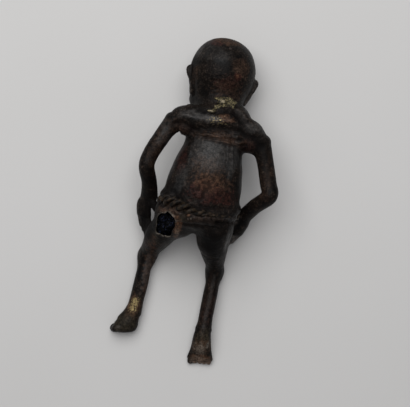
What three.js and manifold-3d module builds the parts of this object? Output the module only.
// Seated female figure, a hollow casting about 180 mm long, shown lying face down.
// Millimetres. +Y runs along the torso to the crown, +Z is the figure's back, +X its right side.

import * as THREE from 'three';
import Module from 'manifold-3d';
import { mergeVertices } from 'three/addons/utils/BufferGeometryUtils.js';

const wasm = await Module();
wasm.setup();

// Metal and clearances
const WALL = 2.4;
const CLEARANCE = 0.3;

// Head, measured from its own centre
const HEAD_HEIGHT = 43;
const HEAD_HALF_WIDTH = 17.25;
const HEAD_BACK = 18.4;
const HEAD_FRONT = 16.9;
const HEAD_X = -6.15;
const HEAD_RISE = 17.1;
const HEAD_Z = 19;
const HEAD_YAW = THREE.MathUtils.degToRad(12);
const NOSE_LENGTH = 3.7;
const EYE_SPREAD = 6.4;
const EYE_HALF_LENGTH = 2.9;
const EAR_LENGTH = 15;
const EAR_REACH = 3.6;
const EAR_THICKNESS = 2;

// Neck and body
const NECK_HALF_WIDTH = 12.2;
const NECK_HALF_DEPTH = 10.2;
const NECK_X = -3.4;
const NECK_Z = 25;
const BODY_TOP = 53;
const SHOULDER_X = -1.8;
const SHOULDER_Z = 24.65;
const SHOULDER_HALF_WIDTH = 18.4;
const CHEST_HALF_WIDTH = 15.9;
const CHEST_HALF_DEPTH = 13.3;
const CHEST_X = -1.9;
const CHEST_Z = 26;
const BELLY_HALF_WIDTH = 20.2;
const BELLY_HALF_DEPTH = 16.2;
const BELLY_X = -2.5;
const BELLY_Z = 30.8;
const WAIST_Y = -3;
const WAIST_Z = 32;
const WAIST_HALF_WIDTH = 18.4;
const WAIST_HALF_DEPTH = 15.4;
const HIP_HALF_WIDTH = 20.3;
const HIP_HALF_DEPTH = 16.2;
const HIP_Z = 32.6;
const CROTCH_Y = -17.6;
const BREAST_RADIUS = 5.6;
const BREAST_LENGTH = 7.6;
const BREAST_SPREAD = 8.2;

// Waist cord, two strands laid round each other
const STRAND_RADIUS = 0.95;
const CORD_TURNS = 20;
const CORD_DROP = 1.8;

// Roll across the upper back, and the arms that leave it
const YOKE_RADIUS = 5.6;
const YOKE_PEAK = BODY_TOP - 5;
const YOKE_BACK = 33.5;
const ARMPIT_WEB = 2.3;
const SHOULDER_SPREAD = 25;
const LEFT_SHOULDER_DROP = 11.7;
const RIGHT_SHOULDER_DROP = 13.2;
const ARM_Z = 28;
const UPPER_ARM_LENGTH = 29.2;
const UPPER_ARM_RADIUS = 4.6;
const FOREARM_LENGTH = 20;
const FOREARM_RADIUS = 3.7;
const HAND_LENGTH = 22;
const PALM_HALF_WIDTH = 5;
const PALM_HALF_THICKNESS = 2.5;
const PALM_BULGE = 1.6;
const FINGER_RADIUS = 1.2;

// Legs and feet
const HIP_JOINT_Y = -9;
const HIP_JOINT_Z = 33.5;
const HIP_SPREAD = 12.6;
const PELVIS_X = -3.9;
const THIGH_LENGTH = 37.8;
const THIGH_RADIUS = 9.4;
const KNEE_RADIUS = 5.3;
const SHIN_LENGTH = 34;
const SHIN_RADIUS = 3.6;
const FOOT_LENGTH = 19.6;
const FOOT_HALF_WIDTH = 6.5;
const TOE_RADIUS = 1.35;

// Break in the left buttock, the clay behind it and the mend at the nape
const HOLE_X = -18.2;
const HOLE_Y = -15.4;
const HOLE_WIDTH = 9.6;
const HOLE_HEIGHT = 12.8;
const CORE_HOLLOW = 1.6;
const PIN_RADIUS = 0.8;
const PIN_DEPTH = 4;
const MEND_LENGTH = 17;
const MEND_HEIGHT = 9;
const MEND_THICKNESS = 1.3;

// Directions of the limbs in the pose
const LEFT_UPPER_ARM = [-8.6, -27.8, 2];
const LEFT_FOREARM = [3.6, -14.6, -12];
const LEFT_HAND = [3.6, -21, -7];
const RIGHT_UPPER_ARM = [9.4, -28.2, 2];
const RIGHT_FOREARM = [-9, -13.2, -11.5];
const RIGHT_HAND = [-7.2, -18.6, -7];
const LEFT_THIGH = [-8.3, -25, -27.8];
const LEFT_SHIN = [-1, -33.8, -0.8];
const LEFT_FOOT = [-11.5, -5.6, -1.2];
const RIGHT_THIGH = [4.9, -25, -27.4];
const RIGHT_SHIN = [1.2, -34, 2.4];
const RIGHT_FOOT = [1.4, -16.5, -7];

const SIDE_X = new THREE.Vector3(1, 0, 0);
const SHOULDER_MIDDLE_X = -1.4;
const SHOULDER_LEFT = [SHOULDER_MIDDLE_X - SHOULDER_SPREAD, BODY_TOP - LEFT_SHOULDER_DROP, ARM_Z];
const SHOULDER_RIGHT = [SHOULDER_MIDDLE_X + SHOULDER_SPREAD, BODY_TOP - RIGHT_SHOULDER_DROP, ARM_Z];

/** Height at a share of the way from the waist to the top of the body. */
function torsoY(share) {
  return WAIST_Y + share * (BODY_TOP - WAIST_Y);
}

/** Point at a distance from a start point along a direction. */
function reach(start, direction, length) {
  const step = new THREE.Vector3(...direction).normalize().multiplyScalar(length);
  return step.add(new THREE.Vector3(...start)).toArray();
}

/** Point between two points. */
function between(a, b, share) {
  return new THREE.Vector3(...a).lerp(new THREE.Vector3(...b), share).toArray();
}

/** Closed mesh data becomes a solid. */
function solidOf(geometry) {
  geometry.deleteAttribute('normal');
  geometry.deleteAttribute('uv');
  const merged = mergeVertices(geometry, 1e-5);
  const mesh = new wasm.Mesh({
    numProp: 3,
    vertProperties: new Float32Array(merged.attributes.position.array),
    triVerts: new Uint32Array(merged.index.array),
  });
  return new wasm.Manifold(mesh);
}

/** Solid from rings of equal count, with a pole point closing each end. */
function solidOfRings(startPole, rings, endPole) {
  const around = rings[0].length;
  const points = [startPole, ...rings.flat(), endPole];
  const last = points.length - 1;
  const index = [];
  const at = (ring, step) => 1 + ring * around + (step % around);
  for (let step = 0; step < around; step += 1) {
    index.push(0, at(0, step + 1), at(0, step));
    index.push(last, at(rings.length - 1, step), at(rings.length - 1, step + 1));
    for (let ring = 0; ring < rings.length - 1; ring += 1) {
      index.push(at(ring, step), at(ring, step + 1), at(ring + 1, step + 1));
      index.push(at(ring, step), at(ring + 1, step + 1), at(ring + 1, step));
    }
  }
  let volume = 0;
  for (let i = 0; i < index.length; i += 3) {
    const [a, b, c] = [points[index[i]], points[index[i + 1]], points[index[i + 2]]];
    volume += a.dot(new THREE.Vector3().crossVectors(b, c));
  }
  if (volume < 0) {
    index.reverse();
  }
  const geometry = new THREE.BufferGeometry();
  geometry.setAttribute('position', new THREE.Float32BufferAttribute(points.flatMap((p) => p.toArray()), 3));
  geometry.setIndex(index);
  return solidOf(geometry);
}

/**
 * Loft of elliptical rings along a smooth line through stations.
 * A station is { at, wide, deep }: a point, the half width across and the half depth.
 */
function loft(stations, { around = 20, steps = 3, grow = 0, side = SIDE_X, domes = [1, 1] } = {}) {
  const line = new THREE.CatmullRomCurve3(stations.map((s) => new THREE.Vector3(...s.at)), false, 'catmullrom');
  const sizes = new THREE.CatmullRomCurve3(
    stations.map((s) => new THREE.Vector3(s.wide, s.deep ?? s.wide, 0)), false, 'catmullrom');
  const count = (stations.length - 1) * steps;
  const ringAt = (t, shift, scale) => {
    const along = line.getTangent(t);
    const across = side.clone().addScaledVector(along, -side.dot(along)).normalize();
    const up = new THREE.Vector3().crossVectors(along, across);
    const centre = line.getPoint(t).addScaledVector(along, shift);
    const size = sizes.getPoint(t);
    return Array.from({ length: around }, (_, i) => {
      const angle = (2 * Math.PI * i) / around;
      return centre.clone()
        .addScaledVector(across, Math.cos(angle) * (size.x + grow) * scale)
        .addScaledVector(up, Math.sin(angle) * (size.y + grow) * scale);
    });
  };
  const capLength = (t, dome) => dome * Math.min(sizes.getPoint(t).x, sizes.getPoint(t).y) + grow;
  const rings = [];
  const startCap = capLength(0, domes[0]);
  const endCap = capLength(1, domes[1]);
  const capAngles = [Math.PI / 2.8, Math.PI / 5];
  if (domes[0] > 0) {
    capAngles.forEach((a) => rings.push(ringAt(0, -startCap * Math.sin(a), Math.cos(a))));
  }
  for (let i = 0; i <= count; i += 1) {
    const flatEnd = (i === 0 && domes[0] === 0) ? -grow : (i === count && domes[1] === 0) ? grow : 0;
    rings.push(ringAt(i / count, flatEnd, 1));
  }
  if (domes[1] > 0) {
    [...capAngles].reverse().forEach((a) => rings.push(ringAt(1, endCap * Math.sin(a), Math.cos(a))));
  }
  const startPole = line.getPoint(0).addScaledVector(line.getTangent(0), -startCap);
  const endPole = line.getPoint(1).addScaledVector(line.getTangent(1), endCap);
  return solidOfRings(startPole, rings, endPole);
}

/** Ellipsoid at a point. */
function egg(at, radii, { grow = 0, around = 14, rows = 10, turn = null } = {}) {
  const geometry = new THREE.SphereGeometry(1, around, rows);
  geometry.scale(radii[0] + grow, radii[1] + grow, radii[2] + grow);
  if (turn) {
    geometry.applyQuaternion(turn);
  }
  geometry.translate(...at);
  return solidOf(geometry);
}

/** Everything on one side of a plane: the plane's point, and the way the solid lies from it. */
function halfSpace(at, toward) {
  const size = 400;
  const geometry = new THREE.BoxGeometry(size, size, size);
  geometry.translate(0, 0, size / 2);
  const way = new THREE.Vector3(...toward).normalize();
  geometry.applyQuaternion(new THREE.Quaternion().setFromUnitVectors(new THREE.Vector3(0, 0, 1), way));
  geometry.translate(...at);
  return solidOf(geometry);
}

/** The largest separate body left after a cut. */
function mainBody(solid) {
  return solid.decompose().reduce((best, next) => (next.volume() > best.volume() ? next : best));
}

/** A solid with several others cut away. */
function less(solid, ...cutters) {
  return mainBody(cutters.reduce((rest, cutter) => rest.subtract(cutter), solid));
}

/** Several solids joined. */
function joined(...solids) {
  return solids.reduce((whole, next) => whole.add(next));
}

// Body from the neck down to the crotch
function bodyStations() {
  const midriff = (CHEST_HALF_WIDTH + BELLY_HALF_WIDTH) / 2 + 0.4;
  const top = { wide: SHOULDER_HALF_WIDTH - 2, deep: CHEST_HALF_DEPTH - 1.6 };
  const blades = { wide: SHOULDER_HALF_WIDTH, deep: CHEST_HALF_DEPTH - 0.4 };
  return [
    { at: [NECK_X, BODY_TOP, NECK_Z], wide: NECK_HALF_WIDTH, deep: NECK_HALF_DEPTH },
    { at: [SHOULDER_X - 0.4, torsoY(0.92), SHOULDER_Z], ...top },
    { at: [SHOULDER_X + 0.4, torsoY(0.8), SHOULDER_Z], ...blades },
    { at: [CHEST_X, torsoY(0.607), CHEST_Z], wide: CHEST_HALF_WIDTH, deep: CHEST_HALF_DEPTH },
    { at: [(CHEST_X + BELLY_X) / 2, torsoY(0.41), (CHEST_Z + BELLY_Z) / 2],
      wide: midriff, deep: (CHEST_HALF_DEPTH + BELLY_HALF_DEPTH) / 2 },
    { at: [BELLY_X, torsoY(0.18), BELLY_Z], wide: BELLY_HALF_WIDTH, deep: BELLY_HALF_DEPTH },
    { at: [BELLY_X, WAIST_Y, WAIST_Z], wide: WAIST_HALF_WIDTH, deep: WAIST_HALF_DEPTH },
    { at: [PELVIS_X, HIP_JOINT_Y - 0.5, HIP_Z], wide: HIP_HALF_WIDTH, deep: HIP_HALF_DEPTH },
    { at: [PELVIS_X, HIP_JOINT_Y - 5, WAIST_Z], wide: HIP_HALF_WIDTH * 0.7, deep: HIP_HALF_DEPTH * 0.75 },
  ];
}

const BODY_END_DOME = (HIP_JOINT_Y - 5 - CROTCH_Y) / (HIP_HALF_DEPTH * 0.75);

function bodyForm(grow) {
  return loft(bodyStations(), { around: 24, steps: 2, grow, domes: [0, BODY_END_DOME] });
}

// Both legs, from the hip joints to the ankles
function legPoints(sign) {
  const hip = [PELVIS_X + sign * HIP_SPREAD, HIP_JOINT_Y, HIP_JOINT_Z];
  const thigh = sign < 0 ? LEFT_THIGH : RIGHT_THIGH;
  const shin = sign < 0 ? LEFT_SHIN : RIGHT_SHIN;
  const knee = reach(hip, thigh, THIGH_LENGTH);
  const ankle = reach(knee, shin, SHIN_LENGTH);
  return { hip, knee, ankle, thigh };
}

function legStations(sign) {
  const { hip, knee, ankle } = legPoints(sign);
  const shinTop = between(knee, ankle, 0.2);
  return [
    { at: between(hip, knee, -0.05), wide: THIGH_RADIUS - 0.8, deep: THIGH_RADIUS },
    { at: between(hip, knee, 0.28), wide: THIGH_RADIUS, deep: THIGH_RADIUS },
    { at: between(hip, knee, 0.52), wide: THIGH_RADIUS - 1.3, deep: THIGH_RADIUS - 1.5 },
    { at: between(hip, knee, 0.8), wide: (THIGH_RADIUS + KNEE_RADIUS) / 2 - 1, deep: KNEE_RADIUS + 1.1 },
    { at: [knee[0], knee[1] - 1.5, knee[2] - 1.4], wide: KNEE_RADIUS, deep: KNEE_RADIUS + 0.3 },
    { at: [shinTop[0], shinTop[1], shinTop[2] - 0.6], wide: SHIN_RADIUS + 0.8, deep: SHIN_RADIUS + 1 },
    { at: between(knee, ankle, 0.52), wide: SHIN_RADIUS, deep: SHIN_RADIUS + 0.3 },
    { at: between(knee, ankle, 0.8), wide: SHIN_RADIUS, deep: SHIN_RADIUS + 0.1 },
    { at: ankle, wide: SHIN_RADIUS + 0.4, deep: SHIN_RADIUS + 0.2 },
  ];
}

function legForm(sign, grow) {
  return loft(legStations(sign), { around: 14, steps: 2, grow, domes: [0.6, 0.5] });
}

/** Plane across the middle of a thigh, where the hip shell ends and the leg begins. */
function thighPlane(sign) {
  const { hip, knee, thigh } = legPoints(sign);
  return { at: between(hip, knee, 0.5), down: thigh };
}

function upperThigh(sign, grow) {
  const plane = thighPlane(sign);
  const cut = halfSpace(reach(plane.at, plane.down, grow), plane.down);
  return legForm(sign, grow).subtract(cut);
}

function lowerThigh(sign) {
  const plane = thighPlane(sign);
  const up = plane.down.map((v) => -v);
  return legForm(sign, 0).subtract(halfSpace(reach(plane.at, plane.down, CLEARANCE), up));
}

// Head: rings from crown to chin, with the face raised on the front of the rings
const HEAD_CENTRE = [HEAD_X, BODY_TOP + HEAD_RISE, HEAD_Z];

/** Outline of the head: height, half width, and reach to the front and to the back. */
function headStations() {
  const w = HEAD_HALF_WIDTH;
  const b = HEAD_BACK;
  const f = HEAD_FRONT;
  const top = HEAD_HEIGHT / 2;
  return [
    [top - 0.9, w - 12, -5.4, 5.8],
    [top - 3.1, w - 7.5, -10, b - 7.8],
    [top - 6.5, w - 4, -13.4, b - 4],
    [top - 11.5, w - 1.35, 1 - f, b - 1],
    [top - 17.5, w, -f, b],
    [top - 23.5, w - 0.15, -f, b - 0.6],
    [top - 29.5, w - 1.5, 0.4 - f, b - 3.4],
    [top - 34.5, w - 3.1, 1.2 - f, b - 7.4],
    [top - 39, w - 5, 2.6 - f, b - 12],
    [top - 41.8, w - 8.8, 4.8 - f, b - 17.5],
  ];
}

/** Height of a soft mound over a spot of the face. */
function mound(x, y, [cx, cy], [sx, sy], height) {
  return height * Math.exp(-(((x - cx) / sx) ** 2) - ((y - cy) / sy) ** 2);
}

/** Calm, plain face: how far the skin stands forward at a place seen from the front. */
function faceRelief(x, y) {
  const across = Math.abs(x);
  const eyeY = 0;
  const noseTipY = -7.2;
  const along = THREE.MathUtils.clamp((eyeY + 2.5 - y) / (eyeY + 2.5 - noseTipY), 0, 1);
  const underNose = THREE.MathUtils.smoothstep(y, noseTipY - 2.2, noseTipY - 0.4);
  const bridge = (0.8 + (NOSE_LENGTH - 0.8) * along ** 1.6) * underNose;
  const ridge = y < 5 ? bridge * Math.exp(-((x / (1.5 + 0.9 * along)) ** 2)) : 0;
  const fade = THREE.MathUtils.smoothstep(5 - y, 0, 2.5);
  return ridge * fade
    + mound(across, y, [2.6, noseTipY - 0.2], [1.2, 1.2], 1.3)
    + mound(across, y, [EYE_SPREAD, eyeY], [4, 2.6], -1.5)
    + mound(across, y, [EYE_SPREAD, eyeY + 3.9], [4.6, 1.3], 0.7)
    + mound(across, y, [8.6, -5.2], [3.6, 3], 0.6)
    + mound(x, y, [0, -11.2], [3.5, 0.85], 1.4)
    + mound(x, y, [0, -13.3], [3, 1], 1.5)
    + mound(x, y, [0, -12.2], [3.9, 0.4], -0.5)
    + mound(x, y, [0, -17.4], [3.8, 2], 1.3);
}

/** Angles round a ring, close together over the face and wider over the back. */
function headAngles() {
  const front = 9;
  const back = 5;
  const angles = [];
  for (let i = -front; i <= front; i += 1) {
    angles.push(-Math.PI / 2 + Math.sign(i) * (Math.PI / 2) * (Math.abs(i) / front) ** 1.3);
  }
  for (let i = 1; i < 2 * back; i += 1) {
    angles.push((Math.PI * i) / (2 * back));
  }
  return angles;
}

function skullForm(grow, withFace) {
  const stations = headStations();
  const widths = new THREE.CatmullRomCurve3(stations.map(([y, w]) => new THREE.Vector3(y, w, 0)));
  const depths = new THREE.CatmullRomCurve3(stations.map(([, , f, b]) => new THREE.Vector3(f, b, 0)));
  widths.curveType = 'catmullrom';
  depths.curveType = 'catmullrom';
  const steps = (stations.length - 1) * 3;
  const angles = headAngles();
  const rings = Array.from({ length: steps + 1 }, (_, i) => {
    const { x: y, y: wide } = widths.getPoint(i / steps);
    const { x: front, y: back } = depths.getPoint(i / steps);
    const middle = (front + back) / 2;
    const deep = (back - front) / 2;
    return angles.map((angle) => {
      const x = (wide + grow) * Math.cos(angle);
      const relief = withFace && Math.sin(angle) < 0 ? faceRelief(x, y) * (-Math.sin(angle)) ** 0.5 : 0;
      return new THREE.Vector3(x, y, middle + (deep + grow) * Math.sin(angle) - relief);
    });
  });
  const [, , chinFront, chinBack] = stations[stations.length - 1];
  const crown = new THREE.Vector3(0, HEAD_HEIGHT / 2 + grow, 0);
  const chin = new THREE.Vector3(0, -HEAD_HEIGHT / 2 - grow, (chinFront + chinBack) / 2 - 1);
  return solidOfRings(crown, rings, chin);
}

/** Turns a solid with the head and moves it to the head's place. */
function withHead(solid) {
  const degrees = THREE.MathUtils.radToDeg(HEAD_YAW);
  return solid.rotate([0, degrees, 0]).translate(HEAD_CENTRE);
}

function neckForm(grow) {
  return loft([
    { at: [HEAD_X + 1, HEAD_CENTRE[1] - 6, HEAD_Z + 1], wide: NECK_HALF_WIDTH, deep: NECK_HALF_DEPTH },
    { at: [NECK_X - 0.6, BODY_TOP + 4, NECK_Z - 1.6], wide: NECK_HALF_WIDTH, deep: NECK_HALF_DEPTH },
    { at: [NECK_X, BODY_TOP - 3, NECK_Z], wide: NECK_HALF_WIDTH, deep: NECK_HALF_DEPTH },
  ], { around: 16, steps: 2, grow, domes: [0.5, 0] });
}

function eyeForms() {
  const depth = HEAD_FRONT * Math.sqrt(1 - (EYE_SPREAD / HEAD_HALF_WIDTH) ** 2);
  return [-1, 1].map((sign) => egg(
    [sign * EYE_SPREAD, 0, 1.2 - depth],
    [EYE_HALF_LENGTH, EYE_HALF_LENGTH * 0.55, 1.6],
    { around: 10, rows: 6 },
  ));
}

function headForm(grow) {
  const skull = withHead(joined(skullForm(grow, true), ...(grow > 0 ? [] : eyeForms())));
  return skull.add(neckForm(grow));
}

/** Ear as a leaf that stands off the side of the head and runs in toward the jaw. */
function earForm(sign) {
  const root = HEAD_HALF_WIDTH - 1.4;
  const half = EAR_REACH / 2 + 0.7;
  const deep = EAR_THICKNESS / 2;
  const top = 2.4;
  const leaf = loft([
    { at: [sign * (root + 0.3), top, 1.6], wide: half - 1.3, deep },
    { at: [sign * (root + half - 0.8), top - 1.4, 2.6], wide: half, deep },
    { at: [sign * (root + half - 1.4), top - EAR_LENGTH * 0.33, 3], wide: half - 0.1, deep },
    { at: [sign * (root + half - 2.9), top - EAR_LENGTH * 0.66, 2.2], wide: half - 0.4, deep },
    { at: [sign * (root - 1.8), top - EAR_LENGTH, 0.8], wide: half - 1, deep },
  ], { around: 8, steps: 2 });
  const bowl = egg(
    [sign * (root + half - 0.8), top - EAR_LENGTH * 0.36, 1.6],
    [1.4, EAR_LENGTH * 0.26, 1.1],
    { around: 8, rows: 6 },
  );
  return withHead(leaf.subtract(bowl));
}

// Clay core inside the shells, one body from the thighs up into the head
function coreForm(shrink) {
  const inside = -(WALL + shrink);
  const spine = bodyStations().slice(0, -1);
  spine[0] = { ...spine[0], at: [NECK_X, BODY_TOP + 2, NECK_Z - 0.4] };
  const trunk = loft(spine, { around: 14, steps: 1, grow: inside, domes: [0.4, 0.45] });
  const thighs = [-1, 1].map((sign) => loft(
    legStations(sign).slice(0, 2),
    { around: 10, steps: 2, grow: inside - 0.2, domes: [0.3, 0.5] },
  ));
  const rise = loft([
    { at: [HEAD_X, HEAD_CENTRE[1] - 4, HEAD_Z + 1.5], wide: NECK_HALF_WIDTH, deep: NECK_HALF_DEPTH },
    { at: [NECK_X - 0.4, BODY_TOP, NECK_Z - 0.6], wide: NECK_HALF_WIDTH, deep: NECK_HALF_DEPTH },
  ], { around: 10, steps: 1, grow: inside - 0.4, domes: [0.5, 0.5] });
  const brain = withHead(egg(
    [0, 1.5, 0.9],
    [HEAD_HALF_WIDTH, HEAD_HEIGHT / 2 - 2.2, (HEAD_BACK + HEAD_FRONT) / 2 - 0.8],
    { around: 12, rows: 8, grow: inside },
  ));
  return joined(trunk, ...thighs, rise, brain);
}

/** Jagged outline of the break, as a prism that runs along the line of sight from behind. */
function breakForm(margin) {
  const shape = new THREE.Shape();
  const corners = 19;
  for (let i = 0; i < corners; i += 1) {
    const angle = (2 * Math.PI * i) / corners;
    const chip = 1 + 0.055 * Math.sin(5 * angle + 0.6) + 0.045 * Math.sin(8 * angle + 2.1);
    const square = 1 / (Math.abs(Math.cos(angle)) ** 3 + Math.abs(Math.sin(angle)) ** 3) ** (1 / 3);
    const x = HOLE_X + (HOLE_WIDTH / 2 + margin) * chip * square * Math.cos(angle);
    const y = HOLE_Y + (HOLE_HEIGHT / 2 + margin) * chip * square * Math.sin(angle);
    if (i === 0) {
      shape.moveTo(x, y);
    } else {
      shape.lineTo(x, y);
    }
  }
  const prism = new THREE.ExtrudeGeometry(shape, { depth: 40, bevelEnabled: false });
  prism.translate(0, 0, HIP_JOINT_Z - 6);
  return solidOf(prism);
}

/** The core has crumbled away a little under the break. */
function crumbledForm() {
  const radii = [HOLE_WIDTH / 2 + 0.8, HOLE_HEIGHT / 2 + 0.8, 4.6 + CORE_HOLLOW];
  return egg([HOLE_X, HOLE_Y - 1, HIP_JOINT_Z + 7], radii, { around: 12, rows: 8 });
}

// Pins that held the core: a place on the skin and the way out of it
function pinPlaces() {
  const chest = torsoY(0.73);
  const belly = torsoY(0.214);
  return {
    core_pin_back: {
      at: [PELVIS_X - 2.5, HIP_JOINT_Y - 0.4, HIP_Z + HIP_HALF_DEPTH - 0.2],
      out: [0, -0.25, 1],
    },
    core_pin_chest: { at: [CHEST_X, chest, SHOULDER_Z - CHEST_HALF_DEPTH + 0.9], out: [0, 0, -1] },
    core_pin_belly: { at: [BELLY_X, belly, BELLY_Z - BELLY_HALF_DEPTH - 0.4], out: [0, 0, -1] },
    core_pin_crown: {
      at: [HEAD_X + 1.4, HEAD_CENTRE[1] + HEAD_HEIGHT * 0.302, HEAD_CENTRE[2] + HEAD_BACK * 0.734],
      out: [0.1, 0.7, 0.7],
    },
  };
}

function pinForm(place, margin) {
  const length = WALL + 2 * PIN_DEPTH + 2 * margin;
  const pin = new THREE.CylinderGeometry(PIN_RADIUS + margin, PIN_RADIUS + margin, length, 10);
  const out = new THREE.Vector3(...place.out).normalize();
  pin.applyQuaternion(new THREE.Quaternion().setFromUnitVectors(new THREE.Vector3(0, 1, 0), out));
  pin.translate(...place.at);
  return solidOf(pin);
}

// Twisted cord round the waist
class StrandCurve extends THREE.Curve {
  constructor(phase) {
    super();
    this.phase = phase;
  }

  getPoint(t, target = new THREE.Vector3()) {
    const lay = STRAND_RADIUS + 0.2;
    const stand = lay + STRAND_RADIUS + CLEARANCE;
    const waist = bodyStations()[6];
    const angle = 2 * Math.PI * t;
    const twist = CORD_TURNS * angle + this.phase;
    const out = lay * Math.cos(twist);
    const along = lay * Math.sin(twist);
    const wide = waist.wide + stand;
    const deep = waist.deep + stand;
    const normal = new THREE.Vector2(Math.cos(angle) / wide, Math.sin(angle) / deep).normalize();
    return target.set(
      waist.at[0] + wide * Math.cos(angle) + out * normal.x,
      WAIST_Y - CORD_DROP * Math.sin(angle) + along,
      waist.at[2] + deep * Math.sin(angle) + out * normal.y,
    );
  }
}

function strandForm(phase) {
  const curve = new StrandCurve(phase);
  const stepsPerTurn = 6;
  return solidOf(new THREE.TubeGeometry(curve, CORD_TURNS * stepsPerTurn, STRAND_RADIUS, 5, true));
}

/** Room that the whole cord takes, as one plain ring. */
function cordRoom(margin) {
  const lay = STRAND_RADIUS + 0.2;
  const stand = lay + STRAND_RADIUS + CLEARANCE;
  const waist = bodyStations()[6];
  class RingCurve extends THREE.Curve {
    getPoint(t, target = new THREE.Vector3()) {
      const angle = 2 * Math.PI * t;
      return target.set(
        waist.at[0] + (waist.wide + stand) * Math.cos(angle),
        WAIST_Y - CORD_DROP * Math.sin(angle),
        waist.at[2] + (waist.deep + stand) * Math.sin(angle),
      );
    }
  }
  return solidOf(new THREE.TubeGeometry(new RingCurve(), 40, lay + STRAND_RADIUS + margin, 10, true));
}

// Arms and hands
function armPoints(sign) {
  const shoulder = sign < 0 ? SHOULDER_LEFT : SHOULDER_RIGHT;
  const elbow = reach(shoulder, sign < 0 ? LEFT_UPPER_ARM : RIGHT_UPPER_ARM, UPPER_ARM_LENGTH);
  const wrist = reach(elbow, sign < 0 ? LEFT_FOREARM : RIGHT_FOREARM, FOREARM_LENGTH);
  const fingertip = reach(wrist, sign < 0 ? LEFT_HAND : RIGHT_HAND, HAND_LENGTH);
  return { shoulder, elbow, wrist, fingertip };
}

function armForm(sign, grow) {
  const { shoulder, elbow, wrist } = armPoints(sign);
  return loft([
    { at: shoulder, wide: UPPER_ARM_RADIUS + 0.4, deep: UPPER_ARM_RADIUS + 0.6 },
    { at: between(shoulder, elbow, 0.35), wide: UPPER_ARM_RADIUS - 0.2, deep: UPPER_ARM_RADIUS },
    { at: between(shoulder, elbow, 0.75), wide: UPPER_ARM_RADIUS - 0.6, deep: UPPER_ARM_RADIUS - 0.4 },
    { at: [elbow[0], elbow[1] + 0.5, elbow[2]], wide: FOREARM_RADIUS + 0.2, deep: FOREARM_RADIUS + 0.5 },
    { at: between(elbow, wrist, 0.5), wide: FOREARM_RADIUS, deep: FOREARM_RADIUS + 0.1 },
    { at: wrist, wide: FOREARM_RADIUS - 0.3, deep: FOREARM_RADIUS - 0.3 },
  ], { around: 12, steps: 2, grow, domes: [0.6, 0] });
}

function handForm(sign) {
  const { wrist, fingertip } = armPoints(sign);
  const side = new THREE.Vector3(0.86, 0, sign * -0.5);
  const along = new THREE.Vector3(...fingertip).sub(new THREE.Vector3(...wrist)).normalize();
  const across = side.clone().addScaledVector(along, -side.dot(along)).normalize();
  const onHand = (share, out) => {
    const [x, y, z] = between(wrist, fingertip, share);
    return [x + sign * out, y, z];
  };
  const palm = loft([
    { at: onHand(0.02, 0), wide: FOREARM_RADIUS - 0.4, deep: FOREARM_RADIUS - 0.6 },
    { at: onHand(0.24, PALM_BULGE), wide: PALM_HALF_WIDTH, deep: PALM_HALF_THICKNESS + 0.3 },
    { at: onHand(0.5, PALM_BULGE), wide: PALM_HALF_WIDTH, deep: PALM_HALF_THICKNESS },
  ], { around: 10, steps: 2, side, domes: [0, 0.8] });
  const spacing = (2 * PALM_HALF_WIDTH - 2 * FINGER_RADIUS) / 3;
  const fingers = [-1.5, -0.5, 0.5, 1.5].map((place) => {
    const shift = across.clone().multiplyScalar(place * spacing);
    const root = new THREE.Vector3(...onHand(0.45, PALM_BULGE)).add(shift);
    const short = 0.035 * (place + sign * 0.5) ** 2;
    const tip = new THREE.Vector3(...onHand(0.94 - short, 0.3)).addScaledVector(shift, 0.72);
    return loft([
      { at: root.toArray(), wide: FINGER_RADIUS },
      { at: root.clone().lerp(tip, 0.5).toArray(), wide: FINGER_RADIUS + 0.1 },
      { at: tip.toArray(), wide: FINGER_RADIUS - 0.15 },
    ], { around: 6, steps: 1, side });
  });
  const inward = across.clone().multiplyScalar(-sign);
  const thumbRoot = new THREE.Vector3(...between(wrist, fingertip, 0.16)).addScaledVector(inward, 2);
  const thumbTip = new THREE.Vector3(...between(wrist, fingertip, 0.4)).addScaledVector(inward, 6.4);
  const thumb = loft([
    { at: thumbRoot.toArray(), wide: FINGER_RADIUS + 0.4 },
    { at: thumbRoot.clone().lerp(thumbTip, 0.6).toArray(), wide: FINGER_RADIUS + 0.2 },
    { at: thumbTip.toArray(), wide: FINGER_RADIUS },
  ], { around: 6, steps: 1, side: new THREE.Vector3(0, 0, 1) });
  return joined(palm, ...fingers, thumb);
}

/** Thick roll from shoulder to shoulder over the upper back, deepest where it meets the armpits. */
function yokeForm(grow) {
  const middle = [(SHOULDER_LEFT[0] + SHOULDER_RIGHT[0]) / 2, YOKE_PEAK - 1, YOKE_BACK];
  const web = { wide: YOKE_RADIUS + ARMPIT_WEB, deep: YOKE_RADIUS };
  const webZ = YOKE_BACK - 2.8;
  return loft([
    { at: SHOULDER_LEFT, wide: YOKE_RADIUS, deep: YOKE_RADIUS - 0.4 },
    { at: [SHOULDER_LEFT[0] + SHOULDER_SPREAD * 0.34, YOKE_PEAK - 5.2, webZ], ...web },
    { at: middle, wide: YOKE_RADIUS, deep: YOKE_RADIUS - 0.4 },
    { at: [SHOULDER_RIGHT[0] - SHOULDER_SPREAD * 0.3, YOKE_PEAK - 6.2, webZ], ...web },
    { at: SHOULDER_RIGHT, wide: YOKE_RADIUS, deep: YOKE_RADIUS - 0.4 },
  ], { around: 12, steps: 3, grow, side: new THREE.Vector3(0, 1, 0), domes: [0.7, 0.7] });
}

function breastForm(sign) {
  const x = CHEST_X + sign * BREAST_SPREAD;
  const y = torsoY(0.571);
  const root = CHEST_Z - CHEST_HALF_DEPTH + 4.3;
  return loft([
    { at: [x, y + 1, root], wide: BREAST_RADIUS },
    { at: [x, y, root - BREAST_LENGTH * 0.53], wide: BREAST_RADIUS },
    { at: [x, y - 1.4, root - BREAST_LENGTH], wide: BREAST_RADIUS * 0.62 },
  ], { around: 12, steps: 2, domes: [0.2, 0.8] });
}

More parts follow.
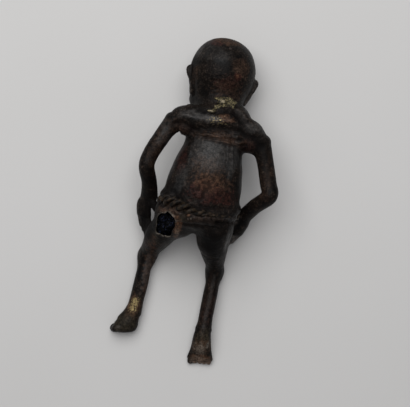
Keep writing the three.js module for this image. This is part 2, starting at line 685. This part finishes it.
// Feet
function rightFootForm() {
  const { ankle } = legPoints(1);
  const heel = reach(ankle, RIGHT_SHIN, 3.6);
  const ball = reach(heel, RIGHT_FOOT, FOOT_LENGTH * 0.78);
  const toes = reach(heel, RIGHT_FOOT, FOOT_LENGTH);
  const sole = loft([
    { at: reach(ankle, RIGHT_SHIN, 1), wide: SHIN_RADIUS + 0.5, deep: SHIN_RADIUS + 0.2 },
    { at: heel, wide: SHIN_RADIUS + 0.6, deep: SHIN_RADIUS + 0.3 },
    { at: between(heel, ball, 0.4), wide: SHIN_RADIUS + 1.1, deep: SHIN_RADIUS + 0.1 },
    { at: between(heel, ball, 0.75), wide: FOOT_HALF_WIDTH - 0.9, deep: 2.9 },
    { at: ball, wide: FOOT_HALF_WIDTH, deep: 2.2 },
  ], { around: 12, steps: 2, domes: [0.7, 0.6] });
  const heelPad = egg([heel[0], heel[1] - 3.2, heel[2] + 1.4], [3.6, 4, 3], { around: 10, rows: 6 });
  return joined(sole, heelPad, ...toeForms(ball, toes, new THREE.Vector3(1, 0, 0), 1));
}

function toeForms(ball, toes, across, sign) {
  const spread = FOOT_HALF_WIDTH - TOE_RADIUS;
  return [-2, -1, 0, 1, 2].map((place) => {
    const big = place * sign === -2 ? 0.45 : 0;
    const shift = across.clone().multiplyScalar((place / 2) * spread);
    const root = new THREE.Vector3(...between(ball, toes, -0.2)).add(shift);
    const tip = new THREE.Vector3(...between(ball, toes, 0.62 - 0.08 * (place * sign + 2))).add(shift);
    return loft([
      { at: root.toArray(), wide: TOE_RADIUS + big, deep: TOE_RADIUS + big },
      { at: tip.toArray(), wide: TOE_RADIUS + big, deep: TOE_RADIUS + big },
    ], { around: 6, steps: 1, side: across });
  });
}

function leftFootForm() {
  const { ankle } = legPoints(-1);
  const heel = reach(ankle, LEFT_SHIN, 7.6);
  const toes = reach(heel, LEFT_FOOT, FOOT_LENGTH * 0.625);
  const ball = between(heel, toes, 0.66);
  const across = new THREE.Vector3(0, 0, 1);
  const upper = loft([
    { at: ankle, wide: SHIN_RADIUS + 0.5, deep: SHIN_RADIUS + 0.2 },
    { at: [ankle[0] - 0.6, ankle[1] - 4.4, ankle[2] - 0.2], wide: SHIN_RADIUS + 0.9, deep: SHIN_RADIUS + 0.3 },
    { at: [ankle[0] - 3.6, ankle[1] - 8, ankle[2] - 0.5], wide: SHIN_RADIUS + 0.8, deep: SHIN_RADIUS + 0.5 },
    { at: [ball[0], ball[1] + 0.8, ball[2]], wide: 2.9, deep: FOOT_HALF_WIDTH - 1.9 },
  ], { around: 14, steps: 2, domes: [0.5, 0.6] });
  const heelPad = egg([heel[0] + 1.8, heel[1] + 0.6, heel[2]], [3.2, 4, 3.7], { around: 10, rows: 6 });
  const low = [ball[0], ball[1], ball[2] + 0.2];
  const toeRow = toeForms(low, [toes[0], toes[1], toes[2] + 0.4], across.multiplyScalar(0.62), 1);
  const foot = joined(upper, heelPad, ...toeRow);
  const soleAt = [heel[0], heel[1] - 3.9, heel[2]];
  return foot.subtract(halfSpace(soleAt, [-LEFT_FOOT[1], LEFT_FOOT[0], 0]));
}

/** Crust of mend metal over the joint between the head and the body. */
function mendForm() {
  const middle = [NECK_X + 0.2, BODY_TOP + 3, NECK_Z + NECK_HALF_DEPTH - 0.8];
  const lumps = [
    { shift: [-3.6, -1.6, -0.6], radii: [4.6, 3, 1.6] },
    { shift: [1.2, 0.6, 0], radii: [MEND_LENGTH / 2 - 3, MEND_HEIGHT / 2, MEND_THICKNESS + 0.9] },
    { shift: [5, 1.8, -0.9], radii: [3.6, 2.6, 1.8] },
    { shift: [-0.6, -3.4, 0.1], radii: [3.4, 2, 1.5] },
  ];
  return joined(...lumps.map(({ shift, radii }) => egg(
    [middle[0] + shift[0], middle[1] + shift[1], middle[2] + shift[2]],
    radii,
    { around: 10, rows: 6 },
  )));
}

// Finishes
const DARK_BRONZE = { color: 0x2d2928, roughness: 0.42, metalness: 0.85 };
const WORN_BRONZE = { color: 0x3a332f, roughness: 0.5, metalness: 0.8 };
const OLIVE_BRONZE = { color: 0x4b4a42, roughness: 0.55, metalness: 0.7 };
const EARTHY_BRONZE = { color: 0x4d4338, roughness: 0.7, metalness: 0.55 };
const MEND_METAL = { color: 0xa8925c, roughness: 0.5, metalness: 0.85 };
const CLAY = { color: 0x171a22, roughness: 0.95, metalness: 0 };
const IRON = { color: 0x3c3029, roughness: 0.75, metalness: 0.6 };

/** All solids of the figure by node name. */
function figureSolids() {
  const floor = halfSpace([0, 0, 0], [0, 0, -1]);
  const wall = (solid) => solid.subtract(coreForm(0));
  const pins = pinPlaces();
  const pinHoles = joined(...Object.values(pins).map((place) => pinForm(place, CLEARANCE)));
  const waistAt = (shift) => [0, WAIST_Y + shift, 0];
  const trunk = bodyForm(0);
  const hips = joined(trunk, upperThigh(-1, 0), upperThigh(1, 0));
  const hipRoom = joined(bodyForm(CLEARANCE), upperThigh(-1, CLEARANCE), upperThigh(1, CLEARANCE));
  const thighRoots = joined(upperThigh(-1, 0), upperThigh(1, 0));
  const skinRoom = hipRoom;

  const head = less(wall(headForm(0)), bodyForm(CLEARANCE), pinHoles, floor);
  const headRoom = headForm(CLEARANCE);
  const cordBed = cordRoom(CLEARANCE);
  const torso = less(wall(trunk), halfSpace(waistAt(CLEARANCE / 2), [0, -1, 0]), pinHoles, cordBed);
  const hipShell = less(
    wall(hips), halfSpace(waistAt(-CLEARANCE / 2), [0, 1, 0]), breakForm(0), pinHoles, cordBed);
  const core = less(coreForm(CLEARANCE), crumbledForm(), pinHoles);

  const solids = { head, torso_shell: torso, hip_shell: hipShell, clay_core: core };
  solids.left_ear = less(earForm(-1), headRoom);
  solids.right_ear = less(earForm(1), headRoom);
  solids.left_breast = less(breastForm(-1), skinRoom);
  solids.right_breast = less(breastForm(1), skinRoom);
  solids.shoulder_yoke = less(yokeForm(0), skinRoom, headRoom);
  solids.waist_cord_strand_a = strandForm(0);
  solids.waist_cord_strand_b = strandForm(Math.PI);
  solids.nape_mend = less(mendForm(), headRoom, skinRoom, yokeForm(CLEARANCE));

  [['left', -1], ['right', 1]].forEach(([name, sign]) => {
    const legRoom = legForm(sign, CLEARANCE);
    const leg = less(lowerThigh(sign), thighRoots, floor);
    const arm = less(armForm(sign, 0), yokeForm(CLEARANCE), skinRoom, legRoom, cordRoom(CLEARANCE));
    const foot = less(sign < 0 ? leftFootForm() : rightFootForm(), legRoom, floor);
    const hand = less(handForm(sign), armForm(sign, CLEARANCE), skinRoom, legRoom, cordRoom(CLEARANCE));
    solids[`${name}_leg`] = leg;
    solids[`${name}_arm`] = arm;
    solids[`${name}_foot`] = foot;
    solids[`${name}_hand`] = hand;
  });

  Object.entries(pins).forEach(([name, place]) => {
    const skin = name === 'core_pin_crown' ? headForm(0) : trunk;
    solids[name] = mainBody(pinForm(place, 0).intersect(skin));
  });
  return solids;
}

const FINISHES = {
  head: DARK_BRONZE,
  torso_shell: DARK_BRONZE,
  hip_shell: EARTHY_BRONZE,
  clay_core: CLAY,
  left_ear: OLIVE_BRONZE,
  right_ear: OLIVE_BRONZE,
  left_breast: DARK_BRONZE,
  right_breast: DARK_BRONZE,
  shoulder_yoke: WORN_BRONZE,
  waist_cord_strand_a: EARTHY_BRONZE,
  waist_cord_strand_b: EARTHY_BRONZE,
  nape_mend: MEND_METAL,
  left_leg: WORN_BRONZE,
  left_arm: DARK_BRONZE,
  left_foot: OLIVE_BRONZE,
  left_hand: DARK_BRONZE,
  right_leg: WORN_BRONZE,
  right_arm: DARK_BRONZE,
  right_foot: OLIVE_BRONZE,
  right_hand: DARK_BRONZE,
  core_pin_back: IRON,
  core_pin_chest: IRON,
  core_pin_belly: IRON,
  core_pin_crown: IRON,
};

function meshOf(solid, name) {
  const { vertProperties, triVerts } = solid.getMesh();
  const geometry = new THREE.BufferGeometry();
  geometry.setAttribute('position', new THREE.Float32BufferAttribute(vertProperties, 3));
  geometry.setIndex(new THREE.Uint32BufferAttribute(triVerts, 1));
  geometry.computeVertexNormals();
  const mesh = new THREE.Mesh(geometry, new THREE.MeshStandardMaterial(FINISHES[name]));
  mesh.name = name;
  return mesh;
}

// The figure stands on its origin: the middle of its outline, at the height of the surface it lies on
const group = new THREE.Group();
Object.entries(figureSolids()).forEach(([name, solid]) => group.add(meshOf(solid, name)));
const bounds = new THREE.Box3().setFromObject(group);
const middle = bounds.getCenter(new THREE.Vector3());
group.children.forEach((mesh) => mesh.geometry.translate(-middle.x, -middle.y, -bounds.min.z));

export default group;
